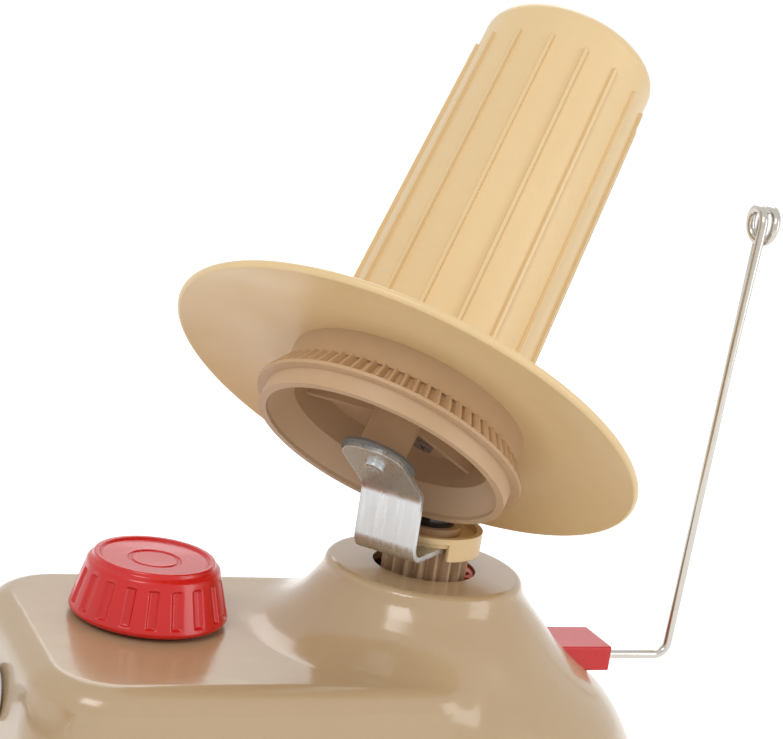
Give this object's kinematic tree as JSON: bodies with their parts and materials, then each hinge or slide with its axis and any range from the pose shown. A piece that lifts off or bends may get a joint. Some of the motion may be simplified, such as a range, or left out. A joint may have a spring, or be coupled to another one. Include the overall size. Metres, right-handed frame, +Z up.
{
  "type": "yarn cone winder",
  "caption": "Hand-cranked table-clamp yarn winder: a tilted ribbed cone on a dished flange circles and spins over a geared body, fed through a wire eye.",
  "frame": {"origin": "on the spindle axis at the underside of the base plate, where the winder rests on the table", "axes": "+Z up along the spindle axis; +X along the body towards the yarn guide; -X towards the crank; -Y is the side the crank handle points to at rest"},
  "size_m": [0.2624, 0.134, 0.2325],
  "materials": {
    "beige_gloss": "gloss",
    "cream_plastic": "satin",
    "tan_gear": "satin",
    "orange_gear": "satin",
    "red_gloss": "gloss",
    "black_gloss": "gloss",
    "zinc_steel": "bright zinc",
    "chrome": "polished",
    "nickel_wire": "polished nickel",
    "steel": "plain",
    "dark_washer": "dark grey fibre",
    "brass": "turned",
    "white_plastic": "plain",
    "base_grey": "plain",
    "rubber": "matte"
  },
  "bodies": {
    "base": {"casing": "beige_gloss", "base_plate": "base_grey", "base_screws": "steel", "base_pads": "rubber", "axle_bearing": "white_plastic", "crank_bush": "white_plastic", "spindle_bridge": "steel", "bridge_screws": "steel", "centre_shaft": "steel", "spacer_disc": "tan_gear", "sun_pinion": "black_gloss", "sun_screw": "steel", "guide_holder": "red_gloss"},
    "spindle": {"spindle_pinion": "tan_gear", "carrier_cup": "cream_plastic", "cup_screws": "steel", "bracket": "zinc_steel", "cone_axle": "steel", "axle_screw": "zinc_steel", "axle_washer": "dark_washer", "cone_axle_clip": "steel"},
    "cone": {"ring_gear": "tan_gear", "flange": "cream_plastic", "cone": "cream_plastic", "cone_bush": "white_plastic", "cone_screws": "steel"},
    "crank": {"crank_rod": "chrome", "crank_gear": "orange_gear", "crank_gear_screw": "steel", "axle_clip": "steel", "grip_cap": "chrome"},
    "grip": {"crank_grip": "red_gloss"},
    "knob": {"clamp_knob": "red_gloss", "clamp_sleeve": "brass"},
    "jaw": {"clamp_rod": "steel", "jaw_guide_pin": "steel", "clamp_jaw": "zinc_steel", "clamp_pad": "rubber"},
    "guide": {"guide_wire": "nickel_wire", "guide_collar": "steel"}
  },
  "joints": [
    {"name": "spindle_spin", "type": "hinge", "parent": "base", "child": "spindle", "pos_m": [0, 0, 0.07], "axis": [0, 0, 1], "continuous": true},
    {"name": "cone_spin", "type": "hinge", "parent": "spindle", "child": "cone", "pos_m": [-0.02889, -0.02365, 0.11414], "axis": [0.4711, 0.3856, 0.7934], "continuous": true},
    {"name": "crank_turn", "type": "hinge", "parent": "base", "child": "crank", "pos_m": [0, 0, 0.04], "axis": [1, 0, 0], "continuous": true},
    {"name": "grip_spin", "type": "hinge", "parent": "crank", "child": "grip", "pos_m": [-0.155, -0.058, 0.04], "axis": [1, 0, 0], "continuous": true},
    {"name": "knob_turn", "type": "hinge", "parent": "base", "child": "knob", "pos_m": [-0.075, 0.008, 0.0592], "axis": [0, 0, 1], "range_deg": [0, 7200]},
    {"name": "jaw_slide", "type": "slide", "parent": "base", "child": "jaw", "axis": [0, 0, -1], "range_m": [0, 0.04]},
    {"name": "guide_turn", "type": "hinge", "parent": "base", "child": "guide", "pos_m": [0.06, 0, 0.0505], "axis": [1, 0, 0], "range_deg": [-90, 90]}
  ],
  "couplings": [
    {"joint": "cone_spin", "follows": "spindle_spin", "ratio": 0.14286},
    {"joint": "crank_turn", "follows": "spindle_spin", "ratio": -0.32143},
    {"joint": "jaw_slide", "follows": "knob_turn", "m_per_rad": 0.00031831}
  ]
}
